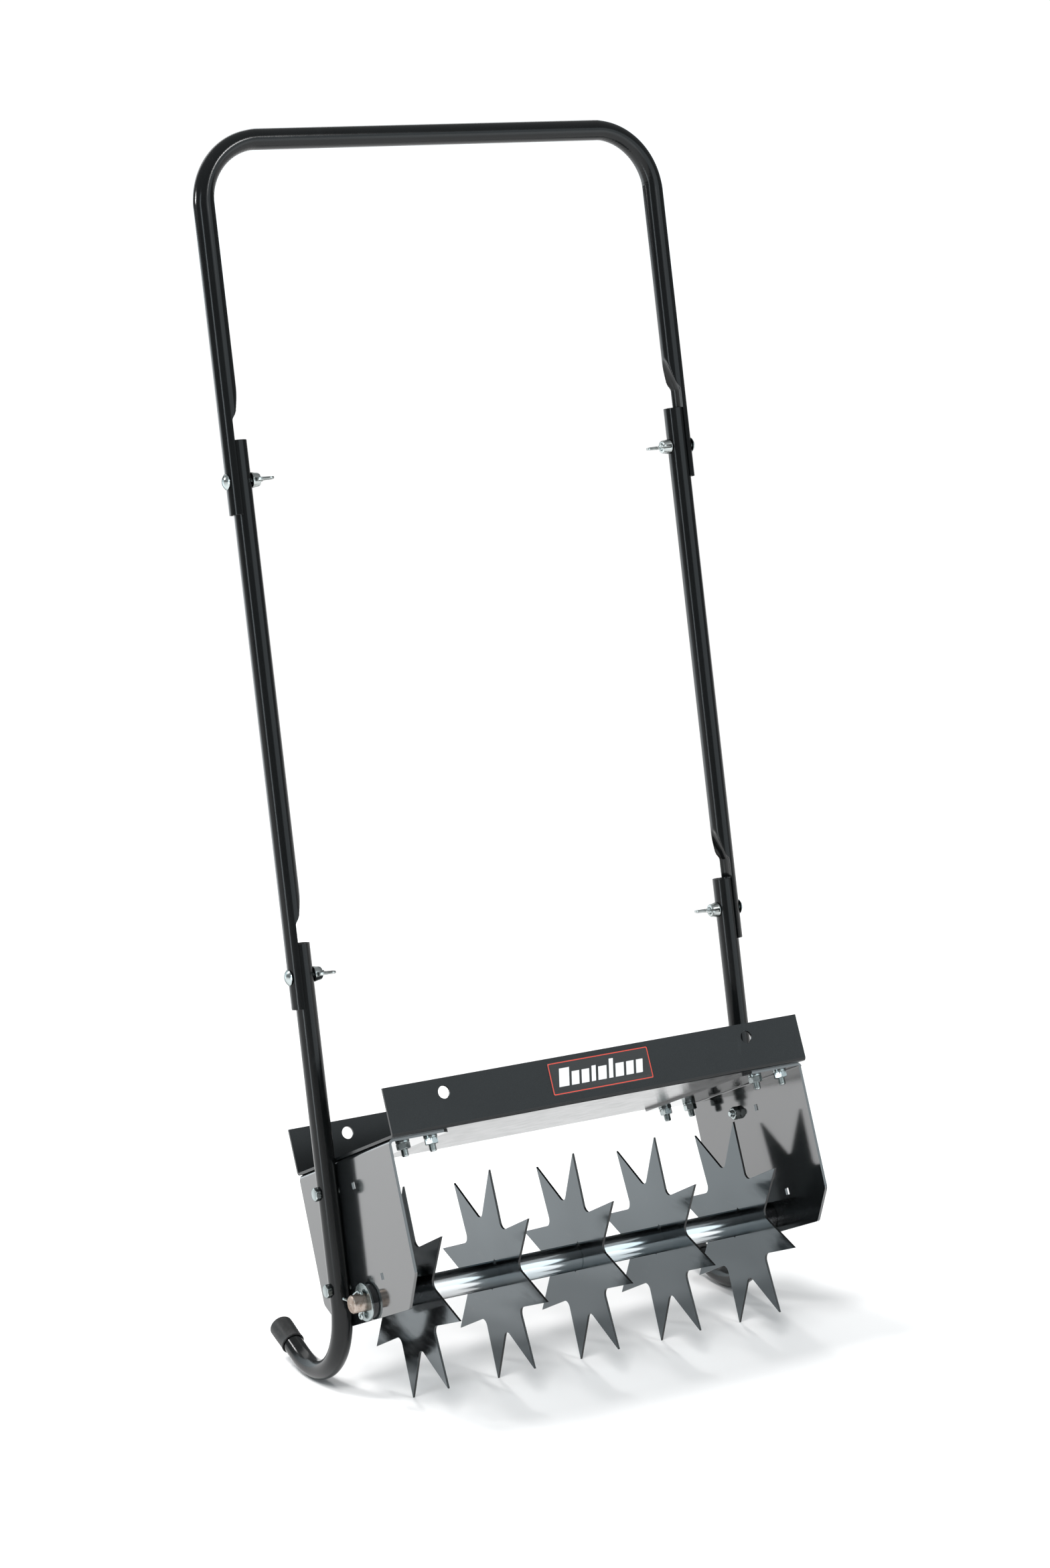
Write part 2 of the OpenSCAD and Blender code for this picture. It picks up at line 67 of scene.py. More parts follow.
TUBE_R = 11.1
TUBE_WALL = 1.3
LEG_X = 261.1
STEP_OUT = 5.0
MIDDLE_X = LEG_X + STEP_OUT
HANDLE_X = MIDDLE_X + STEP_OUT
LOWER_LAP = 68.0
UPPER_LAP = 77.0
PRESS_MORE = 20.0
NECK = 36.0
NECK_TURN = math.radians(28.0)
LIP = 6.0
LEG_TOP = 379.0
MIDDLE_TOP = 904.0
BAR_TOP = 1214.0
BEND_R = 68.0
HOOK_R = 80.0
HOOK_TURN = math.radians(120.4)
TAIL = 50.0
CAP_LENGTH = 34.0
LOWER_BOLT = LEG_TOP - 34.0
UPPER_BOLT = MIDDLE_TOP - 42.0
LEG_BOLTS = (15.0, 117.0)
PLATE_OUT = 250.0
SHEET = 3.0
TAB_TOP = 149.0
FRONT_FACE = -142.0
WALL_H = 50.8
TRAY_BOLT_X = (197.0, 229.0)
TRAY_BOLT_Y = (-117.0, 85.0)
TRAY_BOLT_TURNS = (12, 47, 25, 3, 38, 51, 8, 30)
LOCK_WASHER = 1.9
AXLE_R = 9.525
AXLE_OUT = 20.5
COTTER_X = 259.6
PIN_WIRE_R = 1.35
HEX_AF = 12.7
HEX_CORNER = HEX_AF / math.sqrt(3)
HEAD_H = 5.3
NUT_H = 6.7
BOLT_R = 3.95
PITCH = 1.41
THREAD_DEPTH = 0.62
LABEL_W, LABEL_H = 122.0, 35.0
# points round a tube, a lathed piece and a small turned one
RING = 72
LATHE_POINTS = 64
SMALL_RING = 48
# left, right, low and high edges of the label's slanted bars
LABEL_BARS = ((-52, -40, -9, 10), (-37, -28, -9, 5), (-25, -16, -9, 5), (-13, -8, -9, 7), (-5, 5, -9, 5),
              (8, 13, -9, 11), (16, 26, -9, 5), (29, 38, -9, 5), (41, 49, -9, 5))

SIDES = ((-1, "left"), (1, "right"))

# ---- frames of reference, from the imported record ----


def leaning(origin, angle):
    """Millimetres in a frame that leans back by angle, to metres in the row frame."""
    return Matrix.Translation(origin) @ Matrix.Rotation(-angle, 4, "X") @ Matrix.Scale(0.001, 4)


def handle_frame():
    """Z runs up the legs from the foot of their straight part, and Y points behind them."""
    low, high = JOINT_AT["lower_left_wing_nut_turn"], JOINT_AT["upper_left_wing_nut_turn"]
    lean = math.atan2(high.y - low.y, high.z - low.z)
    up = Vector((0, math.sin(lean), math.cos(lean)))
    return leaning(Vector((0, low.y, low.z)) - up * LOWER_BOLT * 0.001, lean)


def tray_frame():
    """Z is square to the tipped tray, and the origin is on the axle."""
    face = MOUNT_AXIS["rear_tray_face"]
    return leaning(JOINT_AT["rotor_spin"], math.atan2(-face.z, face.y))


HANDLE = handle_frame()
TRAY = tray_frame()
ON_AXLE = leaning(JOINT_AT["rotor_spin"], 0.0)


def mirrored(matrix, side):
    return matrix @ Matrix.Diagonal((side, 1, 1, 1))


def at(x, y, z):
    return Matrix.Translation((x, y, z))


# turns a shape made along Z so that it points along +X
ALONG_X = Matrix.Rotation(math.pi / 2, 4, "Y")

# ---- shells: meshes put together from rings ----


class Shell:
    """The vertices and faces of one piece, in metres."""

    def __init__(self):
        self.verts = []
        self.faces = []

    def loft(self, rings, matrix, closed=False):
        """Quads between rings of equally many points. A closed loft joins its last ring to its first."""
        base, n = len(self.verts), len(rings[0])
        for ring in rings:
            self.verts.extend(matrix @ Vector(p) for p in ring)
        spans = len(rings) if closed else len(rings) - 1
        for i in range(spans):
            k = (i + 1) % len(rings)
            for j in range(n):
                m = (j + 1) % n
                self.faces.append((base + i * n + j, base + i * n + m, base + k * n + m, base + k * n + j))
        if not closed:
            self.faces.append(tuple(range(base, base + n))[::-1])
            last = base + (len(rings) - 1) * n
            self.faces.append(tuple(range(last, last + n)))

    def prism(self, outline, matrix, thick_at):
        """A flat outline in YZ with a thickness along X that thick_at gives for each of its points."""
        base, n = len(self.verts), len(outline)
        for side in (-1, 1):
            self.verts.extend(matrix @ Vector((side * thick_at(y, z), y, z)) for y, z in outline)
        self.faces.append(tuple(range(base, base + n))[::-1])
        self.faces.append(tuple(range(base + n, base + 2 * n)))
        for j in range(n):
            m = (j + 1) % n
            self.faces.append((base + j, base + m, base + n + m, base + n + j))

    def bmesh(self):
        bm = bmesh.new()
        verts = [bm.verts.new(v) for v in self.verts]
        for face in self.faces:
            bm.faces.new([verts[i] for i in face])
        bmesh.ops.remove_doubles(bm, verts=bm.verts, dist=1e-7)
        bmesh.ops.dissolve_degenerate(bm, edges=bm.edges, dist=1e-7)
        return bm


def sharper_than(angle):
    """A test for edges that turn by more than angle degrees."""
    least = math.radians(angle)
    return lambda edge: edge.calc_face_angle(0.0) > least


def round_edges(bm, width, pick, segments=2):
    """Rounds the edges between two faces that pick says yes to."""
    edges = [e for e in bm.edges if len(e.link_faces) == 2 and pick(e)]
    if edges:
        bmesh.ops.bevel(bm, geom=edges, offset=width * 0.001, offset_type="OFFSET", segments=segments,
                        profile=0.5, affect="EDGES", clamp_overlap=True)


def as_piece(name, bm, nodes, material, body=None, sharp=35.0):
    """Turns a bmesh into a piece that rides on its nodes' body and stands for them."""
    bmesh.ops.recalc_face_normals(bm, faces=bm.faces)
    mesh = bpy.data.meshes.new(name)
    bm.to_mesh(mesh)
    bm.free()
    mesh.shade_smooth()
    mesh.set_sharp_from_angle(angle=math.radians(sharp))
    mesh.materials.append(material)
    obj = bpy.data.objects.new(name, mesh)
    bpy.context.scene.collection.objects.link(obj)
    if nodes:
        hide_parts(*nodes)
    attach(obj, body or BODY_OF[nodes[0]])
    return obj


def softened(node, width, material, pick=sharper_than(30.0)):
    """A copy of a CAD node with its hard edges rounded, which takes the node's place."""
    bm = bmesh.new()
    bm.from_mesh(frame["nodes"][node].data)
    bmesh.ops.transform(bm, matrix=frame["nodes"][node].matrix_world, verts=bm.verts)
    bmesh.ops.remove_doubles(bm, verts=bm.verts, dist=2e-6)
    bmesh.ops.dissolve_limit(bm, angle_limit=math.radians(0.6), verts=bm.verts, edges=bm.edges,
                             use_dissolve_boundaries=False)
    round_edges(bm, width, pick)
    obj = as_piece(node + "_finished", bm, [node], material)
    weighted = obj.modifiers.new("even_shading", "WEIGHTED_NORMAL")
    weighted.keep_sharp = True
    return obj


# ---- materials ----


class Look:
    """A node material while it is being put together. Coordinates are metres on the piece."""

    def __init__(self, name):
        self.material = bpy.data.materials.new(name)
        self.material.use_nodes = True
        self.tree = self.material.node_tree
        self.shader = self.tree.nodes["Principled BSDF"]
        self.coords = self.add("ShaderNodeTexCoord")

    def add(self, kind, values=(), **settings):
        node = self.tree.nodes.new(kind)
        for key, value in settings.items():
            setattr(node, key, value)
        for key, value in dict(values).items():
            self.feed(node.inputs[key], value)
        return node

    def feed(self, socket, value):
        if isinstance(value, bpy.types.NodeSocket):
            self.tree.links.new(value, socket)
        else:
            socket.default_value = value

    def set(self, **values):
        for key, value in values.items():
            self.feed(self.shader.inputs[key.replace("_", " ")], value)

    def noise(self, scale, detail=2.0, stretch=(1, 1, 1)):
        mapping = self.add("ShaderNodeMapping", {"Vector": self.coords.outputs["Object"], "Scale": stretch})
        return self.add("ShaderNodeTexNoise", {"Vector": mapping.outputs[0], "Scale": scale,
                                               "Detail": detail}).outputs["Fac"]

    def between(self, fac, low, high, start=0.3, end=0.7):
        return self.add("ShaderNodeMapRange", {"Value": fac, "From Min": start, "From Max": end,
                                               "To Min": low, "To Max": high}).outputs[0]

    def mix(self, fac, first, second):
        node = self.add("ShaderNodeMix", data_type="RGBA")
        self.feed(node.inputs[0], fac)
        self.feed(node.inputs[6], first)
        self.feed(node.inputs[7], second)
        return node.outputs[2]

    def bump(self, height, distance, strength=1.0, before=None):
        node = self.add("ShaderNodeBump", {"Height": height, "Distance": distance, "Strength": strength})
        if before is not None:
            self.feed(node.inputs["Normal"], before)
        return node.outputs[0]

    def along(self, axis):
        """How far the piece's own surface faces along axis 0, 1 or 2, from 0 to 1."""
        parts = self.add("ShaderNodeSeparateXYZ", {"Vector": self.coords.outputs["Normal"]})
        return self.add("ShaderNodeMath", {0: parts.outputs[axis]}, operation="ABSOLUTE").outputs[0]


def grey(value, tint=(1, 1, 1)):
    return (value * tint[0], value * tint[1], value * tint[2], 1)


COOL = (0.88, 1.0, 1.06)
WARM = (1.0, 0.99, 0.985)


def powder_coat(name, shade, rough, ior, peel=0.5):
    """Black powder coat: orange peel, fine grain, a faint film of dust and a few rubbed patches."""
    look = Look(name)
    cloud = look.noise(14, 3)
    speck = look.noise(2600, 1)
    rubbed = look.noise(60, 5, (1, 1, 0.35))
    colour = look.mix(look.between(cloud, 0, 1), grey(shade * 0.85, COOL), grey(shade * 1.15, COOL))
    colour = look.mix(look.between(speck, 0, 0.35, 0.52, 0.75), colour, grey(shade * 3.2, COOL))
    colour = look.mix(look.between(rubbed, 0, 0.12, 0.66, 0.8), colour, grey(0.05, COOL))
    rough_here = look.between(rubbed, rough * 0.95, rough * 1.2, 0.4, 0.8)
    peel_bump = look.bump(look.noise(420, 2), 0.00006 * peel, 0.5)
    grain = look.bump(look.noise(1900, 2), 0.000018, 0.5, peel_bump)
    look.set(Base_Color=colour, Roughness=rough_here, IOR=ior, Normal=grain)
    return look.material


def disc_steel():
    """Dark grey mirror-smooth sheet, with dark sheared edges and a few light scuffs."""
    look = Look("gunmetal_sheet")
    cloud = look.noise(7, 2)
    scuff = look.noise(160, 6, (1, 0.25, 1))
    face = look.mix(look.between(cloud, 0, 1), grey(0.118, COOL), grey(0.138, COOL))
    face = look.mix(look.between(scuff, 0, 0.2, 0.62, 0.78), face, grey(0.2))
    on_face = look.between(look.along(0), 0, 1, 0.55, 0.85)
    look.set(Base_Color=look.mix(on_face, grey(0.012), face), Metallic=on_face, IOR=1.5,
             Roughness=look.between(scuff, 0.1, 0.2, 0.45, 0.8),
             Normal=look.bump(look.noise(300, 2, (1, 1, 0.4)), 0.00002, 0.3))
    return look.material


def bare_metal(name, colour, rough, grain=900, stretch=(1, 1, 1), stain=None, depth=0.00004):
    """Bright or dull bare metal with cloudy roughness, fine grain and, if asked, a stain."""
    look = Look(name)
    cloud = look.noise(120, 4)
    base = look.mix(look.between(cloud, 0, 1), (*[c * 0.86 for c in colour], 1), (*colour, 1))
    if stain:
        base = look.mix(look.between(look.noise(260, 5), 0, 0.7, 0.5, 0.72), base, (*stain, 1))
    look.set(Base_Color=base, Metallic=1.0, Roughness=look.between(cloud, rough * 0.8, rough * 1.3),
             Specular_Tint=grey(0.15), Normal=look.bump(look.noise(grain, 3, stretch), depth, 0.5))
    return look.material


def galvanized():
    """Bright zinc-coated tube with faint streaks along it; its edge tint is dark."""
    look = Look("galvanized_tube")
    cloud = look.noise(26, 2, (0.3, 1, 1))
    streak = look.noise(300, 3, (0.02, 1, 1))
    base = look.mix(look.between(cloud, 0, 1), grey(0.74, COOL), grey(0.86))
    base = look.mix(look.between(streak, 0, 0.25, 0.55, 0.75), base, grey(0.6, (1, 0.99, 0.96)))
    look.set(Base_Color=base, Metallic=1.0, Roughness=look.between(cloud, 0.14, 0.18),
             Specular_Tint=grey(0.0), Normal=look.bump(streak, 0.000001, 0.2))
    return look.material


def vinyl():
    """Matt black dipped vinyl with a soft mottled surface."""
    look = Look("black_vinyl")
    dust = look.noise(300, 4)
    look.set(Base_Color=look.mix(look.between(dust, 0, 0.6, 0.5, 0.8), grey(0.012), grey(0.05)),
             Roughness=look.between(dust, 0.42, 0.6), Normal=look.bump(look.noise(500, 4), 0.0001, 0.5))
    return look.material


def print_film(name, shade, rough, tint=(1, 1, 1)):
    """Printed film with a faint linen texture."""
    look = Look(name)
    fibre = look.noise(1500, 2, (1, 0.2, 1))
    look.set(Base_Color=look.mix(look.between(fibre, 0, 1), grey(shade * 0.92, tint), grey(shade, tint)),
             Roughness=look.between(fibre, rough * 0.9, rough * 1.2),
             Normal=look.bump(fibre, 0.00002, 0.4))
    return look.material


def floor_paper():
    """White paper with a fine fibre."""
    look = Look("white_paper")
    fibre = look.noise(900, 3)
    look.set(Base_Color=look.mix(look.between(fibre, 0, 1), grey(0.94, WARM), grey(0.96, WARM)),
             Roughness=0.75, Normal=look.bump(fibre, 0.00002, 0.2))
    return look.material


TUBE_PAINT = powder_coat("tube_powder_coat", 0.005, 0.17, 1.38)
PLATE_PAINT = powder_coat("plate_powder_coat", 0.01, 0.09, 2.3, 0.25)
TRAY_PAINT = powder_coat("tray_powder_coat", 0.009, 0.2, 1.38, 0.3)
DISC_STEEL = disc_steel()
ZINC = bare_metal("bright_zinc", (0.5, 0.55, 0.55), 0.2, 1400)
CAST_ZINC = bare_metal("cast_zinc", (0.52, 0.55, 0.54), 0.28, 500, depth=0.0001)
AXLE_STEEL = bare_metal("turned_steel", (0.5, 0.43, 0.38), 0.38, 900, (1, 0.1, 0.1), (0.2, 0.13, 0.09))
GALVANIZED = galvanized()
END_SPACER = bare_metal("dark_tube", (0.16, 0.165, 0.17), 0.24, 500, (0.05, 1, 1))
VINYL = vinyl()
LABEL_BLACK = print_film("label_black", 0.012, 0.3)
LABEL_WHITE = print_film("label_white", 0.8, 0.35)
LABEL_RED = print_film("label_red", 0.7, 0.35, (1, 0.09, 0.05))

# ---- tubes ----


def soft_max(a, b, width):
    return (a + b + math.sqrt((a - b) ** 2 + width ** 2)) / 2


def ease(t):
    t = min(max(t, 0.0), 1.0)
    return t * t * (3 - 2 * t)


def ring_angles():
    return [2 * math.pi * j / RING for j in range(RING)]


def round_section(radius):
    return [(radius * math.cos(a), radius * math.sin(a)) for a in ring_angles()]


def pressed_section(past):
    """A tube's outline where it wraps the next tube, or past mm beyond that, where the dent runs out."""
    centre = -STEP_OUT - max(past, 0) * math.tan(NECK_TURN)
    stretch = 1 + (1 / math.cos(NECK_TURN) - 1) * ease(past / 12)
    lip = LIP - STEP_OUT - 5 * ease(past / 9) - (40 if past > 9 else 0)
    points = []
    for a in ring_angles():
        out, back = TUBE_R * math.cos(a), TUBE_R * math.sin(a)
        if out < max(0.0, lip):
            reach = (TUBE_R + 0.05) ** 2 - back ** 2
            edge = centre + stretch * math.sqrt(reach) if reach > 0 else -40
            out = soft_max(out, max(edge, lip), 0.5)
        points.append((out, back))
    return points


def pressed_hollow():
    """The narrow space left between the two walls of a tube that is pressed flat round the next one."""
    inner, press, centre = TUBE_R - TUBE_WALL, TUBE_R + 0.05 + TUBE_WALL, -STEP_OUT
    meet_out = (centre ** 2 - press ** 2 + inner ** 2) / (2 * centre)
    meet = 0.97 * math.sqrt(inner ** 2 - meet_out ** 2)
    points = []
    for a in ring_angles():
        back = min(max(inner * math.sin(a), -meet), meet)
        if math.cos(a) >= 0:
            out = math.sqrt(inner ** 2 - back ** 2)
        else:
            out = centre + math.sqrt(press ** 2 - back ** 2)
        points.append((out, back))
    return points


def shrunk(section, by):
    return [(p * (1 - by / TUBE_R), q * (1 - by / TUBE_R)) for p, q in section]


def placed(section, centre, out, back):
    return [centre + out * p + back * q for p, q in section]


def cradle_stations(lap):
    """(height above the cradle's cut end, section) from inside its hollow, over its end and up its neck."""
    cradle = pressed_section(0)
    stations = [(14.0, pressed_hollow()), (0.15, pressed_hollow()), (0.0, shrunk(cradle, 0.25))]
    pressed = lap + PRESS_MORE
    stations += [(0.3, cradle), (lap / 2, cradle), (pressed - 0.5, cradle)]
    past = 0.75
    while past < NECK:
        stations.append((pressed + past, pressed_section(past)))
        past += 1.5
    stations.append((pressed + NECK + 1, round_section(TUBE_R)))
    return stations


def open_end(s):
    """The round open upper end of a tube at height s, from its outside in and 30 mm down its bore."""
    bore = TUBE_R - TUBE_WALL
    return [(s - 0.35, round_section(TUBE_R)), (s, round_section(TUBE_R - 0.3)),
            (s, round_section(bore + 0.2)), (s - 0.3, round_section(bore)),
            (s - 30, round_section(bore)), (s - 30, round_section(TUBE_R * 0.3))]


X_AXIS, Y_AXIS, Z_AXIS = Vector((1, 0, 0)), Vector((0, 1, 0)), Vector((0, 0, 1))


def middle_tube(side, name):
    """A straight tube from its cradle round the leg up to its open end."""
    bottom = LEG_TOP - LOWER_LAP
    stations = [(bottom + s, section) for s, section in cradle_stations(LOWER_LAP)]
    stations += [(s, round_section(TUBE_R)) for s in range(440, 880, 40)]
    stations += open_end(MIDDLE_TOP)
    rings = [placed(section, Vector((MIDDLE_X, 0, s)), X_AXIS, Y_AXIS) for s, section in stations]
    shell = Shell()
    shell.loft(rings, mirrored(HANDLE, side))
    as_piece(name + "_formed", shell.bmesh(), [name], TUBE_PAINT)


def bent_section(along, length):
    """A section inside a bend: slightly oval, with fine press wrinkles on the bend's inner side."""
    inside = ease(along / 12) * ease((length - along) / 12)
    ripple = 0.5 - 0.5 * math.cos(2 * math.pi * along / 4.3)
    points = []
    for a in ring_angles():
        p, q = TUBE_R * math.cos(a), TUBE_R * math.sin(a)
        grip = max(0.0, -math.cos(a)) ** 2
        points.append((p * (1 - 0.035 * inside) + 0.16 * ripple * inside * grip, q * (1 + 0.012 * inside)))
    return points


def upper_handle():
    """The U-shaped handle, swept from its left cradle over the top bar to its right cradle."""
    bottom = MIDDLE_TOP - UPPER_LAP
    corner_x, corner_s = HANDLE_X - BEND_R, BAR_TOP - BEND_R
    stations = [(bottom + s, section) for s, section in cradle_stations(UPPER_LAP)]
    stations += [(s, round_section(TUBE_R)) for s in range(970, 1145, 25)]
    left = [(Vector((-HANDLE_X, 0, s)), -X_AXIS, section) for s, section in stations]
    length = BEND_R * math.pi / 2
    steps = 100
    for i in range(steps + 1):
        turn = math.pi / 2 * i / steps
        out = Vector((-math.cos(turn), 0, math.sin(turn)))
        centre = Vector((-corner_x, 0, corner_s)) + out * BEND_R
        left.append((centre, out, bent_section(length * i / steps, length)))
    right = [(Vector((-c.x, c.y, c.z)), Vector((-o.x, o.y, o.z)), section) for c, o, section in left[::-1]]
    bar = [(Vector((x, 0, BAR_TOP)), Z_AXIS, round_section(TUBE_R)) for x in range(-180, 200, 40)]
    rings = [placed(section, centre, out, Y_AXIS) for centre, out, section in left + bar + right]
    shell = Shell()
    shell.loft(rings, HANDLE)
    as_piece("upper_handle_formed", shell.bmesh(), ["upper_handle"], TUBE_PAINT)


def hook_place(turn, beyond=0.0):
    """(point, axis, outward) on the hook's middle line after turning by turn, or beyond its end."""
    outward = Vector((0, -math.cos(turn), -math.sin(turn)))
    axis = Vector((0, math.sin(turn), -math.cos(turn)))
    return Vector((LEG_X, HOOK_R, 0)) + outward * HOOK_R + axis * beyond, axis, outward


def leg_tube(side, name):
    """A leg from its open upper end down to its J-shaped hook."""
    stations = open_end(LEG_TOP)[::-1] + [(s, round_section(TUBE_R)) for s in (300, 200, 100, 20)]
    rings = [placed(section, Vector((LEG_X, 0, s)), X_AXIS, -Y_AXIS) for s, section in stations]
    steps = 60
    for i in range(steps + 1):
        point, axis, outward = hook_place(HOOK_TURN * i / steps)
        flat = 0.03 * ease(i / 8) * ease((steps - i) / 8)
        section = [(p * (1 + flat / 3), q * (1 - flat)) for p, q in round_section(TUBE_R)]
        rings.append(placed(section, point, X_AXIS, outward))
    for beyond in (TAIL / 2, TAIL - 0.5, TAIL):
        point, axis, outward = hook_place(HOOK_TURN, beyond)
        rings.append(placed(round_section(TUBE_R - (0.4 if beyond == TAIL else 0)), point, X_AXIS, outward))
    shell = Shell()
    shell.loft(rings, mirrored(HANDLE, side))
    as_piece(name + "_formed", shell.bmesh(), [name], TUBE_PAINT)


def turned(fraction, radius, z):
    """The point at radius and height z, after a fraction of a turn about Z."""
    angle = 2 * math.pi * fraction
    return radius * math.cos(angle), radius * math.sin(angle), z


def circle_ring(z, radius, n=SMALL_RING):
    return [turned(j / n, radius, z) for j in range(n)]


def lathe(shell, profile, matrix, n=LATHE_POINTS, closed=False):
    """Turns (radius, height) pairs about Z."""
    shell.loft([circle_ring(z, r, n) for r, z in profile], matrix, closed)


def arc(cx, cy, radius, start, end, n):
    """n + 1 (x, y) points on an arc, from start to end in degrees."""
    angles = [math.radians(start + (end - start) * i / n) for i in range(n + 1)]
    return [(cx + radius * math.cos(a), cy + radius * math.sin(a)) for a in angles]


def leg_cap(side, name):
    """A dipped vinyl cap with a rolled mouth, pushed over the hook's end."""
    inner, outer = TUBE_R + 0.06, TUBE_R + 1.9
    profile = [(0.01, CAP_LENGTH - 1.9), (inner, CAP_LENGTH - 1.9), (inner, 1.0)]
    profile += arc(inner + 0.9, 0.9, 0.9, 180, 360, 6)
    profile += [(outer - 0.1, 1.6), (outer - 0.45, 2.6), (outer - 0.4, 10), (outer - 0.1, 24)]
    profile += arc(outer - 3.6, CAP_LENGTH - 3.6, 3.5, 0, 84, 8)
    profile += [(6, CAP_LENGTH - 0.15), (3, CAP_LENGTH - 0.5), (0.01, CAP_LENGTH - 0.6)]
    point, axis, outward = hook_place(HOOK_TURN, TAIL + 1.9 - CAP_LENGTH)
    turn = Matrix((X_AXIS, outward, axis)).transposed().to_4x4()
    shell = Shell()
    lathe(shell, profile, mirrored(HANDLE, side) @ Matrix.Translation(point) @ turn)
    as_piece(name + "_dipped", shell.bmesh(), [name], VINYL, sharp=60)


# ---- fasteners ----


def hex_ring(z, limit, n=SMALL_RING):
    """A hexagon's outline at height z, with its corners cut back to the radius limit."""
    ring = []
    for j in range(n):
        a = 2 * math.pi * j / n
        flat = HEX_AF / 2 / math.cos((a % (math.pi / 3)) - math.pi / 6)
        r = min(flat, limit)
        ring.append((r * math.cos(a), r * math.sin(a), z))
    return ring


def thread_ring(z, n=SMALL_RING):
    """A ring on a screw thread's surface."""
    ring = []
    for j in range(n):
        a = 2 * math.pi * j / n
        wave = 0.5 - 0.5 * math.cos(2 * math.pi * (z / PITCH) + a)
        r = BOLT_R - THREAD_DEPTH * wave
        ring.append((r * math.cos(a), r * math.sin(a), z))
    return ring


def shank_rings(length, thread):
    """A bolt's shank from Z = 0 down to -length, threaded over its last part, with a pointed end."""
    rings = [circle_ring(0, BOLT_R), circle_ring(thread - length, BOLT_R)]
    z = thread - length - 0.2
    while z > 0.9 - length:
        rings.append(thread_ring(z))
        z -= PITCH / 8
    return rings + [circle_ring(0.8 - length, BOLT_R - 0.5), circle_ring(-length, BOLT_R - 1.2)]


def chamfer_rings(z0, z1):
    """A hexagon's rings from z0 to z1, with its corners turned off at z1."""
    flat = HEX_AF / 2 * 0.96
    rise = (HEX_CORNER - flat) / math.sqrt(3)
    toward = 1 if z1 > z0 else -1
    rings = [hex_ring(z0, HEX_CORNER)]
    for k in (1, 0.66, 0.33, 0):
        rings.append(hex_ring(z1 - toward * rise * k, flat + rise * k * math.sqrt(3)))
    return rings


def hex_bolt(shell, matrix, length, thread):
    """A bolt whose head stands on Z = 0, with a shallow dish in its top."""
    rings = [circle_ring(HEAD_H - 0.25, 2.0), circle_ring(HEAD_H - 0.2, 4.6)]
    rings += [hex_ring(HEAD_H, HEX_AF / 2 * 0.9)] + chamfer_rings(0.4, HEAD_H)[::-1]
    rings += [hex_ring(0.0, HEX_AF / 2)] + shank_rings(length, thread)
    shell.loft(rings, matrix)


def hex_nut(shell, matrix):
    """A nut that stands on Z = 0, with its corners turned off at both ends."""
    bore, mouth = BOLT_R + 0.06, BOLT_R + 0.6
    flat, rise = HEX_AF / 2 * 0.97, 0.75
    rings = [circle_ring(0.5, bore), circle_ring(0, mouth)]
    rings += [hex_ring(rise * up, flat + (HEX_CORNER - flat) * up) for up in (0, 0.5, 1)]
    rings += chamfer_rings(NUT_H / 2, NUT_H)
    rings += [circle_ring(NUT_H, mouth), circle_ring(NUT_H - 0.5, bore)]
    shell.loft(rings, matrix, closed=True)


def carriage_bolt(shell, matrix):
    """A domed head, a round shank inside the tube and a threaded end."""
    dome_r, dome_h, length = 8.75, 4.2, 38.1
    ball = (dome_h ** 2 + dome_r ** 2) / (2 * dome_h)
    rings = []
    for i in range(9):
        z = dome_h - (dome_h - 0.5) * (i / 8) ** 2
        rings.append(circle_ring(z, max(math.sqrt(max(ball ** 2 - (z + ball - dome_h) ** 2, 0)), 0.4)))
    rings += [circle_ring(0.0, dome_r - 0.4)] + shank_rings(length, 16)
    shell.loft(rings, matrix)


def wing_outline():
    """One wing of a wing nut in YZ: a swept root, a neck and a rounded ear."""
    outline = [(2.5, 1.1), (9.9, 1.9), (13.4, 4.2), (16.0, 7.9)]
    outline += arc(14.2, 15.2, 4.7, -25, 150, 12)
    return outline + [(9.2, 13.0), (7.6, 10.4), (2.5, 9.2)]


def wing_thickness(y, z):
    """Half the wing's thickness, thinner towards its ear."""
    return 2.6 - 0.06 * abs(y) - 0.02 * z


def wing_nut(name, side, x, s):
    """A cast wing nut whose base is towards the tube; its wings spread front and back."""
    place = mirrored(HANDLE, side) @ at(x - TUBE_R - 0.15, 0, s) @ ALONG_X.inverted()
    shell = Shell()
    hub = [(BOLT_R + 0.12, 0), (7.9, 0), (8.2, 0.4), (8.1, 1.7), (7.4, 5.0), (7.0, 8.2), (6.5, 9.2)]
    hub += [(5.8, 9.5), (BOLT_R + 0.5, 9.5), (BOLT_R + 0.12, 9.1)]
    lathe(shell, hub, place, SMALL_RING, closed=True)
    for way in (-1, 1):
        shell.prism([(way * y, z) for y, z in wing_outline()], place, wing_thickness)
    bm = shell.bmesh()
    round_edges(bm, 0.55, sharper_than(50.0), 3)
    as_piece(name + "_cast", bm, [name], CAST_ZINC)


def tube_joints():
    """The carriage bolts and wing nuts where one tube's cradle holds the next."""
    for level, x, s in (("upper", MIDDLE_X, UPPER_BOLT), ("lower", LEG_X, LOWER_BOLT)):
        shell = Shell()
        for side, word in SIDES:
            carriage_bolt(shell, mirrored(HANDLE, side) @ at(x + STEP_OUT + TUBE_R, 0, s) @ ALONG_X)
            wing_nut(f"{level}_{word}_wing_nut", side, x, s)
        as_piece(f"{level}_carriage_bolts_threaded", shell.bmesh(), [f"{level}_carriage_bolts"], ZINC)


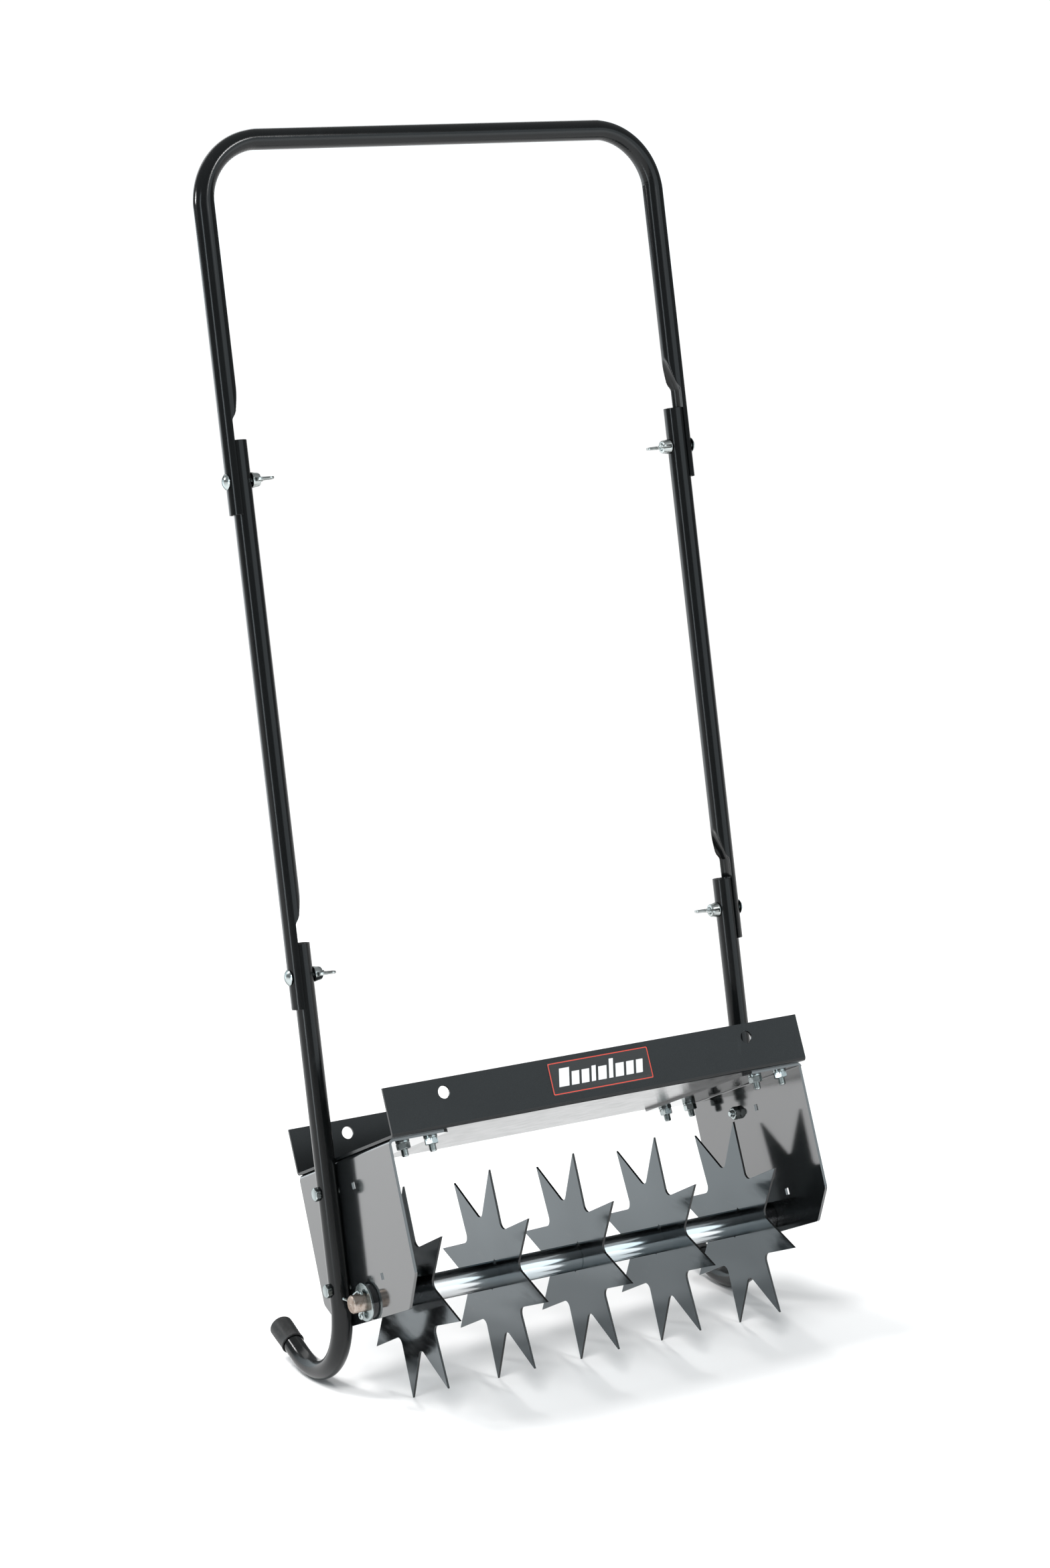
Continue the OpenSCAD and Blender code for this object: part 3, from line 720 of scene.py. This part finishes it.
def leg_fasteners():
    """The bolts through the legs, and their nuts inside the end plates."""
    bolts, nuts = Shell(), Shell()
    for side, _ in SIDES:
        for s in LEG_BOLTS:
            hex_bolt(bolts, mirrored(HANDLE, side) @ at(LEG_X + TUBE_R, 0, s) @ ALONG_X, 36, 12)
            hex_nut(nuts, mirrored(HANDLE, side) @ at(PLATE_OUT - SHEET, 0, s) @ ALONG_X.inverted())
    as_piece("leg_bolts_threaded", bolts.bmesh(), ["leg_bolts"], ZINC)
    as_piece("leg_nuts_chamfered", nuts.bmesh(), ["leg_nuts"], ZINC)


def tray_fasteners():
    """The bolts down through the tray and the end plates' tabs, each tightened at its own angle."""
    bolts, nuts = Shell(), Shell()
    upside_down = Matrix.Rotation(math.pi, 4, "X")
    turns = iter(TRAY_BOLT_TURNS)
    for side, _ in SIDES:
        for x in TRAY_BOLT_X:
            for y in TRAY_BOLT_Y:
                turn = Matrix.Rotation(math.radians(next(turns)), 4, "Z")
                place = TRAY @ at(side * x, y, TAB_TOP) @ turn
                hex_bolt(bolts, place @ at(0, 0, SHEET), 22.2, 15)
                hex_nut(nuts, place @ at(0, 0, -SHEET - LOCK_WASHER) @ upside_down)
    as_piece("tray_bolts_threaded", bolts.bmesh(), ["tray_bolts"], ZINC)
    as_piece("tray_nuts_chamfered", nuts.bmesh(), ["tray_nuts"], ZINC)


# ---- axle ----


def smoothed(points, rounds=2):
    """A polyline with its corners cut, its two ends kept."""
    for _ in range(rounds):
        cut = [points[0]]
        for a, b in zip(points, points[1:]):
            cut += [a * 0.75 + b * 0.25, a * 0.25 + b * 0.75]
        points = cut + [points[-1]]
    return points


def wire(shell, points, radius, matrix, n=16):
    """A round wire along a path, with slightly tapered ends."""
    rings = []
    ahead = (points[1] - points[0]).normalized()
    across = ahead.orthogonal().normalized()
    for i, p in enumerate(points):
        turned = (points[min(i + 1, len(points) - 1)] - points[max(i - 1, 0)]).normalized()
        across = ahead.rotation_difference(turned) @ across
        ahead = turned
        up = ahead.cross(across)
        r = radius * (0.8 if i in (0, len(points) - 1) else 1)
        rings.append([p + across * r * math.cos(a) + up * r * math.sin(a)
                      for a in (2 * math.pi * j / n for j in range(n))])
    shell.loft(rings, matrix)


def cotter_pin(side, name):
    """A split pin up through the rod's end from its eye: one leg wrapped back, one bent to the front."""
    top, eye_z = AXLE_R + 1.7, -AXLE_R - 4.2
    wrapped = [(13.4, 12.8, 3.8), (7.4, 12.2, 0.6), (5.2, 12.1, 0.8), (2.6, 11, 5.6), (0.6, 5.8, top - 0.8),
               (0.5, 2.4, top + 0.4)]
    down = [(0, 1.2, top - 1), (0, 1.2, 0), (0, 1.2, -AXLE_R)]
    eye = [(0, y, z) for y, z in arc(0, eye_z, 3.1, 66, -246, 20)]
    up = [(0, -1.2, -AXLE_R), (0, -1.2, 0), (0, -1.2, top - 1)]
    front = [(0, -2.2, top + 0.3), (0.2, -5.4, AXLE_R + 1.1)]
    path = smoothed([Vector(p) for p in wrapped + down + eye + up + front])
    shell = Shell()
    wire(shell, path, PIN_WIRE_R, mirrored(ON_AXLE, side) @ at(COTTER_X, 0, 0))
    as_piece(name + "_bent", shell.bmesh(), [name], ZINC)


def axle_rod():
    """A turned rod with chamfered ends and a centre dimple in each."""
    end = PLATE_OUT + AXLE_OUT
    half = [(0.01, end - 1.6), (1.4, end - 0.4), (1.6, end), (AXLE_R - 1.3, end), (AXLE_R - 0.1, end - 1.2)]
    half += [(AXLE_R, end - 1.4), (AXLE_R, 240), (AXLE_R, 120)]
    profile = half + [(r, -z) for r, z in half[::-1]]
    shell = Shell()
    lathe(shell, profile, ON_AXLE @ ALONG_X, 96)
    as_piece("axle_rod_turned", shell.bmesh(), ["axle_rod"], AXLE_STEEL)


def rim_edge(edge):
    """True for a disc's edges between its flat faces and its cut sides."""
    a, b = edge.verts
    return abs(a.co.x - b.co.x) < 1e-6 and edge.calc_face_angle(0.0) > math.radians(40)


# ---- label ----


def label_outline(inset, radius, z):
    """The label's rounded rectangle at height z, drawn in by inset."""
    a, b = LABEL_W / 2 - inset - radius, LABEL_H / 2 - inset - radius
    ring = []
    for cx, cy, start in ((a, b, 0), (-a, b, 90), (-a, -b, 180), (a, -b, 270)):
        ring += [(x, y, z) for x, y in arc(cx, cy, radius, start, start + 90, 5)]
    return ring


def on_label(shell, name, material):
    """Makes a thin printed layer that lies on the label's plate."""
    piece = as_piece(name, shell.bmesh(), [], material, body="frame")


def label():
    """A thin plate with a printed rim and plain slanted bars, and nothing written on it."""
    up = TAB_TOP + WALL_H / 2 + 3
    place = TRAY @ at(0, FRONT_FACE, up) @ Matrix.Rotation(math.pi / 2, 4, "X")
    plate, rim, marks = Shell(), Shell(), Shell()
    steps = ((0, 2, 0), (0, 2, 0.2), (0.2, 1.8, 0.3), (3.4, 1, 0.3), (3.5, 1, 0.26))
    plate.loft([label_outline(*step) for step in steps], place)
    steps = ((0.9, 1.4, 0.28), (0.9, 1.4, 0.36), (1.8, 1.1, 0.36), (1.8, 1.1, 0.28))
    rim.loft([label_outline(*step) for step in steps], place, closed=True)
    for x0, x1, y0, y1 in LABEL_BARS:
        slant = 0.22 * (y1 - y0)
        bar = [(x0, y0), (x1, y0), (x1 + slant, y1), (x0 + slant, y1)]
        marks.loft([[(x, y, z) for x, y in bar] for z in (0.2, 0.36)], place)
    as_piece("front_label_plate", plate.bmesh(), ["front_label"], LABEL_BLACK)
    on_label(rim, "front_label_rim", LABEL_RED)
    on_label(marks, "front_label_marks", LABEL_WHITE)


# ---- the object ----


def build_object():
    """Makes every piece; softened CAD nodes take their own nodes' places."""
    for side, word in SIDES:
        leg_tube(side, word + "_leg_tube")
        leg_cap(side, word + "_leg_cap")
        middle_tube(side, word + "_middle_tube")
        cotter_pin(side, word + "_cotter_pin")
        softened(word + "_end_plate", 0.5, PLATE_PAINT)
        softened(word + "_axle_washer", 0.35, ZINC)
        softened(word + "_end_spacer", 0.4, END_SPACER)
    upper_handle()
    tube_joints()
    leg_fasteners()
    tray_fasteners()
    axle_rod()
    label()
    softened("weight_tray", 0.5, TRAY_PAINT)
    softened("tray_lock_washers", 0.25, ZINC)
    for i in range(1, 6):
        softened(f"star_disc_{i}", 0.3, DISC_STEEL, rim_edge)
    for i in range(1, 5):
        softened(f"spacer_tube_{i}", 0.35, GALVANIZED)


# ---- studio ----

# name, place, strength and spread in degrees; each shines towards the origin
SUNS = (("key", (-1.6, 1.0, 3.9), 1.35, 12),
        ("front", (-2.2, -2.4, 4.4), 1.4, 20),
        ("back", (0.8, 3.2, 2.3), 0.65, 6))

# name, place, target, width, height, power and colour
WHITE = (1, 1, 1)
SOFTBOXES = (("left_strip", (-2.3, -0.9, 1.0), (0, 0, 0.75), 0.3, 2.4, 13, COOL),
             ("back_panel", (-1.0, 1.9, 0.62), (0, 0.1, 0.35), 1.5, 1.2, 8.5, COOL),
             ("front_right", (1.35, -2.7, 1.2), (0, 0, 0.8), 3.0, 2.4, 26, COOL),
             ("high_front", (0.61, -1.97, 2.25), (-0.25, 0.22, 1.28), 0.3, 0.3, 12, WHITE),
             ("high_back", (-1.6, 1.1, 1.6), (-0.26, 0.25, 0.06), 0.25, 0.25, 9, WHITE),
             ("back_high", (0.2, 2.0, 2.1), (0, 0.2, 1.1), 2.4, 1.2, 12, WHITE))

# the dome's strength at the horizon and above DOME_HIGH, and the white that only the camera sees
DOME_LOW_STRENGTH, DOME_HIGH_STRENGTH = 0.1, 0.4
DOME_HIGH = 0.85
BACKDROP = 1.1
DOME_COLOUR = (0.96, 1.0, 1.02, 1)

CAMERA_AT = (-1.6977, -3.0529, 1.1996)
YAW = math.radians(28.981)
DOWN = math.radians(9.418)
ROLL = math.radians(-2.449)
LENS = 76.69


def floor():
    """A wide white floor just under the object."""
    bm = bmesh.new()
    bmesh.ops.create_circle(bm, cap_ends=True, segments=96, radius=60)
    mesh = bpy.data.meshes.new("studio_floor")
    bm.to_mesh(mesh)
    bm.free()
    mesh.materials.append(floor_paper())
    obj = bpy.data.objects.new("studio_floor", mesh)
    obj.location.z = CAD_BOX[0][2] - 0.0002
    bpy.context.scene.collection.objects.link(obj)


def aimed(obj, place, target):
    obj.location = place
    obj.rotation_euler = (Vector(target) - Vector(place)).to_track_quat("-Z", "Y").to_euler()
    bpy.context.scene.collection.objects.link(obj)


def softbox(name, place, target, width, height, power, shade):
    """A rectangular light that also shows in shiny surfaces."""
    light = bpy.data.lights.new(name, "AREA")
    light.shape = "RECTANGLE"
    light.size, light.size_y = width, height
    light.energy, light.color = power, shade
    aimed(bpy.data.objects.new(name, light), place, target)


def sun(name, place, strength, spread):
    """A distant light for the shadows, which shiny surfaces don't mirror."""
    light = bpy.data.lights.new(name, "SUN")
    light.energy, light.angle = strength, math.radians(spread)
    obj = bpy.data.objects.new(name, light)
    obj.visible_glossy = False
    aimed(obj, place, (0, 0, 0))


def dome():
    """A dim sky, brighter overhead, which the camera itself sees as plain white."""
    world = bpy.data.worlds.new("studio")
    bpy.context.scene.world = world
    world.use_nodes = True
    tree = world.node_tree
    back = tree.nodes["Background"]
    coords = tree.nodes.new("ShaderNodeTexCoord")
    parts = tree.nodes.new("ShaderNodeSeparateXYZ")
    height = tree.nodes.new("ShaderNodeMapRange")
    path = tree.nodes.new("ShaderNodeLightPath")
    pick = tree.nodes.new("ShaderNodeMix")
    height.inputs["From Min"].default_value = 0.0
    height.inputs["From Max"].default_value = DOME_HIGH
    height.inputs["To Min"].default_value = DOME_LOW_STRENGTH
    height.inputs["To Max"].default_value = DOME_HIGH_STRENGTH
    pick.inputs[3].default_value = BACKDROP
    back.inputs["Color"].default_value = DOME_COLOUR
    tree.links.new(coords.outputs["Generated"], parts.inputs[0])
    tree.links.new(parts.outputs[2], height.inputs["Value"])
    tree.links.new(height.outputs[0], pick.inputs[2])
    tree.links.new(path.outputs["Is Camera Ray"], pick.inputs[0])
    tree.links.new(pick.outputs[0], back.inputs["Strength"])


def studio_light():
    """A dim dome, three suns for the shadows and softboxes for the paint and metal to mirror."""
    dome()
    for row in SUNS:
        sun(*row)
    for row in SOFTBOXES:
        softbox(*row)


def camera():
    """The photograph's view: in front on the left, a little above, rolled slightly."""
    data = bpy.data.cameras.new("camera")
    data.sensor_width = 36
    data.lens = LENS
    data.clip_end = 200
    turn = Matrix.Rotation(-YAW, 4, "Z") @ Matrix.Rotation(math.pi / 2 - DOWN, 4, "X")
    obj = bpy.data.objects.new("camera", data)
    obj.matrix_world = Matrix.Translation(CAMERA_AT) @ turn @ Matrix.Rotation(ROLL, 4, "Z")
    bpy.context.scene.collection.objects.link(obj)
    bpy.context.scene.camera = obj


camera()
build_object()
floor()
studio_light()
bpy.context.scene.view_settings.view_transform = "Standard"

bpy.context.view_layer.update()
